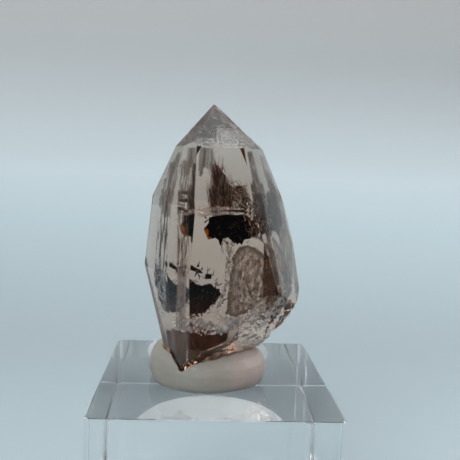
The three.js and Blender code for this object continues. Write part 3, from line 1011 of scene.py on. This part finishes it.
# Ore splinters. Short black needles of the same ore stand off the two ores' rims on all sides,
# and make their outline ragged.
ore_grain = grain_material("ore_grain", ore_black, (0.03, 0.012, 0.006, 1), 0.6)
scattered(
    "lower_ore_splinters", needle_tree, [
        (-7.4, 66), (-4, 65.4), (-1.4, 64.2), (1.2, 61), (1, 57.4), (-1.6, 54.6), (-6.4, 54.4),
    ], 2.6, "dark_mineral",
    density=0.6e6, reach=(0, 0.5 * MM, 0), width=0.16 * MM, length=1.5 * MM,
    least_turn=(-0.4, -1.2, 0), most_turn=(0.4, 1.2, 0), least_size=(0.6, 0.6, 0.4),
    most_size=(1.5, 1.5, 1.4), seed=31, finish=ore_grain,
)
scattered(
    "upper_ore_splinters", needle_tree, [
        (-3.6, 74), (-4.4, 76), (-2, 78), (4, 78.2), (7.8, 76), (8, 72.6), (5, 70), (0, 70.6),
    ], 2.5, "dark_mineral",
    density=0.35e6, reach=(0, 0.4 * MM, 0), width=0.16 * MM, length=1.4 * MM,
    least_turn=(-0.4, -1.2, 0), most_turn=(0.4, 1.2, 0), least_size=(0.6, 0.6, 0.4),
    most_size=(1.5, 1.5, 1.4), seed=37, finish=ore_grain,
)

# Healed cracks. One runs down the middle as a ragged milky ribbon with rust in it, and a net of
# fine veins and dark cracks lies under the broken face.
crack_outline = [
    (0.5, 71.5), (2.6, 71.4), (3, 67.1), (2.5, 62.6), (3.5, 62.2), (2.1, 60.4), (1.1, 58),
    (0.1, 54.6), (-1.6, 54.6), (-0.4, 58.5), (0.7, 61.9), (0.8, 67.1),
]
crack_milk = film_material(
    "crack_milk", milk, (0.1, 0.03, 0.02, 1), 1300, (1, 1, 0.4), 0.5, 0.035, 0.5, 1.0, "Veins")
film("healed_crack", crack_outline, 0, crack_milk, wave=1.6, wave_length=2.5)
crack_rust = film_material(
    "crack_rust", (0.15, 0.04, 0.025, 1), (0.03, 0.012, 0.01, 1), 900, (1, 1, 0.3), 0.54, 0.03,
    0.8, 0.95)
film("rusty_crack", crack_outline, 0.9, crack_rust, wave=1.2, wave_length=2)
fracture_point = Vector((10.8, -11.3, 59.6))
fracture_face = Vector((0.615, -0.591, -0.522))
fracture_inset = 1.1
crack_inset = 0.7
net_milk = film_material(
    "net_milk", milk, grey_milk, 620, (1, 1, 1), 0.5, 0.03, 0.8, 0.85, "Veins")


def under_fracture(x, z):
    aside = fracture_face.x * (x - fracture_point.x)
    upward = fracture_face.z * (z - fracture_point.z)
    return fracture_point.y - (fracture_inset + aside + upward) / fracture_face.y


film("fracture_net", [
    (1, 48.6), (3, 55), (6, 58.2), (10, 60), (15, 60.6), (15.4, 58), (12, 53.6), (8, 50.6),
    (4, 49),
], under_fracture, net_milk, wave=0.5, wave_length=2)
net_shade = film_material(
    "net_shade", (0.06, 0.04, 0.03, 1), (0.02, 0.012, 0.01, 1), 480, (1, 1, 1), 0.48, 0.02,
    0.6, 0.8, "Veins")
film("fracture_cracks", [
    (2, 50), (3, 55), (6, 58), (10, 59.8), (15, 60.4), (15.4, 58), (12, 53.8), (8, 51),
], lambda x, z: under_fracture(x, z) + crack_inset, net_shade, wave=0.6, wave_length=2)
milk_grain = grain_material("milk_grain", (0.9, 0.95, 1, 1), (0.7, 0.7, 0.73, 1), 0.3)
scattered(
    "crack_crumbs", crumb_tree, crack_outline, 0, "smoky_quartz",
    density=2.2e6, reach=(0.1 * MM, 0.7 * MM, 0.1 * MM), width=0.1 * MM,
    least_turn=(0, 0, 0), most_turn=full_turn, least_size=(0.3, 0.4, 0.6),
    most_size=(1.1, 1.3, 3.2), seed=3, finish=milk_grain,
)

# Pale band. A swarm of small bright crumbs, fluid-filled hollows, crosses the point above its
# brown foot, with larger milky blots in it.
band_outline = [
    (-11, 56.4), (-6, 56.2), (-1, 56), (4, 56.8), (7, 57.6), (8, 56), (5, 53.6), (0, 51.8),
    (-6, 52.2), (-9.6, 52.6),
]
scattered(
    "band_crumbs", crumb_tree, band_outline, -7, "smoky_quartz",
    density=2.1e6, reach=(0.2 * MM, 2.8 * MM, 0.3 * MM), width=0.24 * MM,
    least_turn=(0, 0, 0), most_turn=full_turn, least_size=(0.3, 0.2, 0.4),
    most_size=(1.8, 0.9, 2.8), seed=8, finish=milk_grain,
)
blot_milk = film_material(
    "blot_milk", (0.9, 0.95, 1, 1), (0.4, 0.38, 0.38, 1), 600, (1, 1, 0.7), 0.49, 0.05, 0.5, 0.85)
film("milky_blots", band_outline, -9, blot_milk, wave=2.4, wave_length=2)
film("milky_patch", [
    (-6.2, 55.6), (-3.6, 55.7), (-3.2, 54), (-4.4, 53), (-6.2, 53.4),
], -4, film_material("patch_milk", milk, milk, 500, (1, 1, 1), 0.3, 0.2, 0.4, 0.85), wave=0.3)

# Smoky zones. Curved brown layers that mark earlier outlines of the point: a dome on the right
# and the brown foot.
dome_x = 7.6
dome_z = 64
dome_half_width = 6
dome_half_height = 8
dome_back = 5.5
dome_bulge = 4
smoke_dome = film_material(
    "smoke_dome", (0.55, 0.39, 0.24, 1), (0.085, 0.042, 0.02, 1), 1300, (1, 1, 0.35), 0.48, 0.14,
    1.2, 0.76, border=0.9, border_reach=2.6)


def dome_depth(x, z):
    off_middle = ((x - dome_x) / dome_half_width) ** 2 + ((z - dome_z) / dome_half_height) ** 2
    return dome_back - dome_bulge * max(0, 1 - off_middle)


film("brown_dome", [
    (2, 68), (3.6, 70.6), (6, 71.4), (8.6, 70.4), (11.6, 68), (13.4, 63.5), (13.6, 58),
    (9, 54.8), (4, 53), (0.8, 53.4), (1.4, 61),
], dome_depth, smoke_dome)
foot_smoke = film_material(
    "foot_smoke", (0.18, 0.058, 0.012, 1), (0.065, 0.02, 0.004, 1), 500, (1, 1, 0.3), 0.28, 0.2,
    0.4, 0.93)
film("brown_foot", [
    (-10.4, 51.6), (-6.3, 51.9), (2.9, 52.7), (2.4, 49.4), (0, 48.2), (-2.1, 47.2),
    (-6.2, 45.6), (-8, 45.6),
], -2.5, foot_smoke)

# Left side films. Streaks of smoke and frost close under the left side and the narrow face next
# to it, drawn out along the point as it grew, with dark bands across them near the top.
left_side = (-0.86, -0.5, 0.03)
high_left_side = (-0.85, -0.49, 0.18)
left_edge_face = (-0.74, -0.67, 0)
left_smoke = film_material(
    "left_smoke", (0.2, 0.12, 0.08, 1), (0.04, 0.02, 0.013, 1), 1500, (1, 1, 0.09), 0.53, 0.05,
    1.2, 0.85)
film("left_smoke_film", [
    (-13.2, 81), (-11, 87), (-10, 82), (-10, 56), (-12.4, 56), (-14.2, 61), (-14.2, 72),
], under_face((-13.28, -1.41, 74.68), left_side, 1.0), left_smoke, wave=0.3)
left_milk = film_material(
    "left_milk", milk, grey_milk, 560, (1, 1, 0.6), 0.5, 0.045, 0.8, 0.8, "Veins")
film("left_frost_film", [
    (-14.8, 69), (-12.4, 69.5), (-10.6, 64), (-10.2, 56), (-11.6, 51.4), (-13, 55), (-14.4, 62),
], under_face((-11.63, -5.48, 63.07), (-0.86, -0.5, -0.05), 0.7), left_milk, wave=0.3)
high_smoke = film_material(
    "high_smoke", (0.34, 0.24, 0.19, 1), (0.09, 0.052, 0.036, 1), 900, (1, 1, 0.08), 0.48, 0.14,
    1.6, 0.6)
film("high_left_film", [
    (-14.4, 79), (-12, 88.6), (-9, 92), (-7.4, 91.4), (-8.6, 84), (-9.4, 79), (-10.6, 70),
    (-12.4, 74),
], under_face((-13.73, 1.55, 84.58), high_left_side, 0.9), high_smoke, wave=0.2)
edge_smoke = film_material(
    "edge_smoke", (0.38, 0.27, 0.2, 1), (0.045, 0.024, 0.015, 1), 1700, (1, 1, 0.1), 0.5, 0.07,
    0.6, 0.68)
film("left_edge_film", [
    (-9.4, 90), (-6.4, 90), (-6, 78), (-6, 66), (-9.2, 66), (-9.4, 76),
], under_face((-8.23, -8.51, 75.62), (-0.74, -0.67, 0.1), 0.8), edge_smoke, wave=0.2)
edge_milk = film_material(
    "edge_milk", (0.56, 0.46, 0.41, 1), (0.2, 0.14, 0.12, 1), 1200, (1, 1, 0.14), 0.42, 0.2,
    0.4, 0.72)
film("left_edge_veil", [
    (-9, 67), (-6.4, 67.6), (-6.2, 53), (-9, 53),
], under_face((-7.76, -10.12, 61.97), left_edge_face, 0.7), edge_milk, wave=0.2)
# Painted shade: brown sheets close under the left and front faces of the foot darken its low left
# end and hide the bright glints of light there.
foot_shade = film_material(
    "foot_shade", (0.26, 0.14, 0.075, 1), (0.16, 0.085, 0.046, 1), 700, (1, 1, 0.2), 0.15, 0.15,
    0.3, 0.82)
film("left_foot_film", [
    (-10, 53), (-5.6, 53), (-5.6, 43), (-9, 43), (-10, 47),
], under_face((-7.49, -10.37, 53.37), left_edge_face, 0.9), foot_shade, wave=0.1)
film("front_foot_film", [
    (-6.4, 50), (-2.4, 49.4), (-2, 46.6), (-6.4, 43.6),
], under_face((-5.68, -12.22, 50.71), (0.1, -0.99, 0.04), 0.9), foot_shade, wave=0.1)
band_smoke = film_material(
    "band_smoke", (0.08, 0.045, 0.03, 1), dark_brown, 1100, (0.15, 0.15, 1), 0.48, 0.05, 0.4, 0.95)
film("growth_bands", [(-9.2, 83), (-6.2, 83), (-6.2, 77.8), (-9.2, 77.8)],
     under_face((-8.23, -8.51, 75.62), (-0.74, -0.67, 0.1), 1.2), band_smoke, wave=0.1)

# Right side films. The same streaks under the right side and the narrow face before it, darker
# and smudged behind the upper ore.
front_edge = (0.58, -0.79, 0.2)
high_front_edge = (0.56, -0.77, 0.29)
right_side = (0.87, -0.43, 0.26)
high_right_side = (0.85, -0.42, 0.32)
ridge_smoke = film_material(
    "ridge_smoke", (0.2, 0.15, 0.13, 1), (0.05, 0.032, 0.026, 1), 1200, (1, 1, 0.06), 0.46,
    0.14, 0.5, 0.78)
film("right_ridge_film", [
    (5.2, 90.6), (6.9, 90.6), (9.3, 82), (10.4, 76), (11.5, 71), (12.5, 66.7), (13.4, 63),
    (11.8, 63), (10.8, 66.7), (9.8, 71), (8.7, 76), (7.6, 81.5), (6.2, 86),
], under_face((9.59, -8.64, 76.24), front_edge, 0.7), ridge_smoke, wave=0.1)
film("high_ridge_film", [
    (4.4, 92), (6.8, 92), (8.4, 86), (10.4, 78), (7.2, 78), (5.8, 85),
], under_face((6.2, -6.38, 89.86), high_front_edge, 1.0), ridge_smoke, wave=0.1)
smudge = film_material(
    "smudge", (0.08, 0.064, 0.058, 1), (0.018, 0.014, 0.012, 1), 520, (1, 1, 0.7), 0.44, 0.12,
    0.7, 0.85)
film("ridge_smudge", [
    (7, 83.4), (8.8, 83.4), (10.8, 76), (8.4, 76),
], under_face((8.59, -7.76, 81.48), high_front_edge, 0.5), smudge, wave=0.05)
right_smoke = film_material(
    "right_smoke", (0.3, 0.22, 0.19, 1), (0.075, 0.046, 0.036, 1), 1200, (1, 1, 0.06), 0.44,
    0.12, 1.0, 0.66)
right_side_point = (14.18, -1.05, 74.45)
film("right_smoke_film", [
    (9, 86), (11.4, 86), (14.4, 81), (16, 75), (17.4, 70), (17.6, 61.5), (14, 61.5), (12.9, 67),
    (12.2, 71), (11.4, 76), (10.4, 81.6),
], under_face(right_side_point, right_side, 0.9), right_smoke, wave=0.2)
film("high_right_film", [
    (6.6, 91.6), (9.2, 91.6), (13.2, 84), (14.6, 79), (10.4, 80), (8.2, 86),
], under_face((10.58, 0.81, 87.8), high_right_side, 0.9), high_smoke, wave=0.2)
film("right_smudge", [
    (9, 82.6), (11, 85), (13.2, 81), (14.6, 76), (12.8, 73), (10.8, 74.6),
], under_face(right_side_point, right_side, 0.5), smudge, wave=0.05)

# Tip films. Grey specks and a pale gleam under the front end face, which is etched and pearly; the
# gleam is a painted reflection of the back end face.
end_face = (0.08, -0.77, 0.63)
end_face_point = (-2.12, -3.58, 97.05)
haze_grey = film_material(
    "haze_grey", (0.05, 0.05, 0.048, 1), (0.004, 0.004, 0.004, 1), 1900, (1, 1, 1), 0.42, 0.12,
    0.4, 0.85)
film("tip_haze", [
    (-2.3, 100.2), (1.4, 96.9), (-1.2, 96.7), (-1.2, 93.6), (-5.6, 93.6), (-4.6, 97),
], under_face(end_face_point, end_face, 0.5), haze_grey, wave=0.1)
# Painted reflection: a pale sheet standing for the back end face seen mirrored in the front one.
tip_milk = film_material(
    "tip_milk", (0.7, 0.72, 0.73, 1), (0.25, 0.25, 0.25, 1), 1600, (1, 1, 1), 0.47, 0.1, 0.2,
    0.75)
film("tip_gleam", [
    (-1, 96.4), (1.7, 96.2), (3.4, 94), (4.2, 92.5), (-6, 92.5), (-5.8, 93.4), (-1.1, 93.4),
], under_face(end_face_point, end_face, 0.45), tip_milk, wave=0.05)
tip_veil = film_material(
    "tip_veil", (0.06, 0.06, 0.058, 1), (0.02, 0.02, 0.02, 1), 1500, (1, 1, 1), 0.48, 0.1,
    0.3, 0.35)
film("tip_veil_film", [
    (-2.3, 101), (4.8, 92.6), (-6.4, 92.6),
], under_face(end_face_point, end_face, 0.9), tip_veil, wave=0.1)
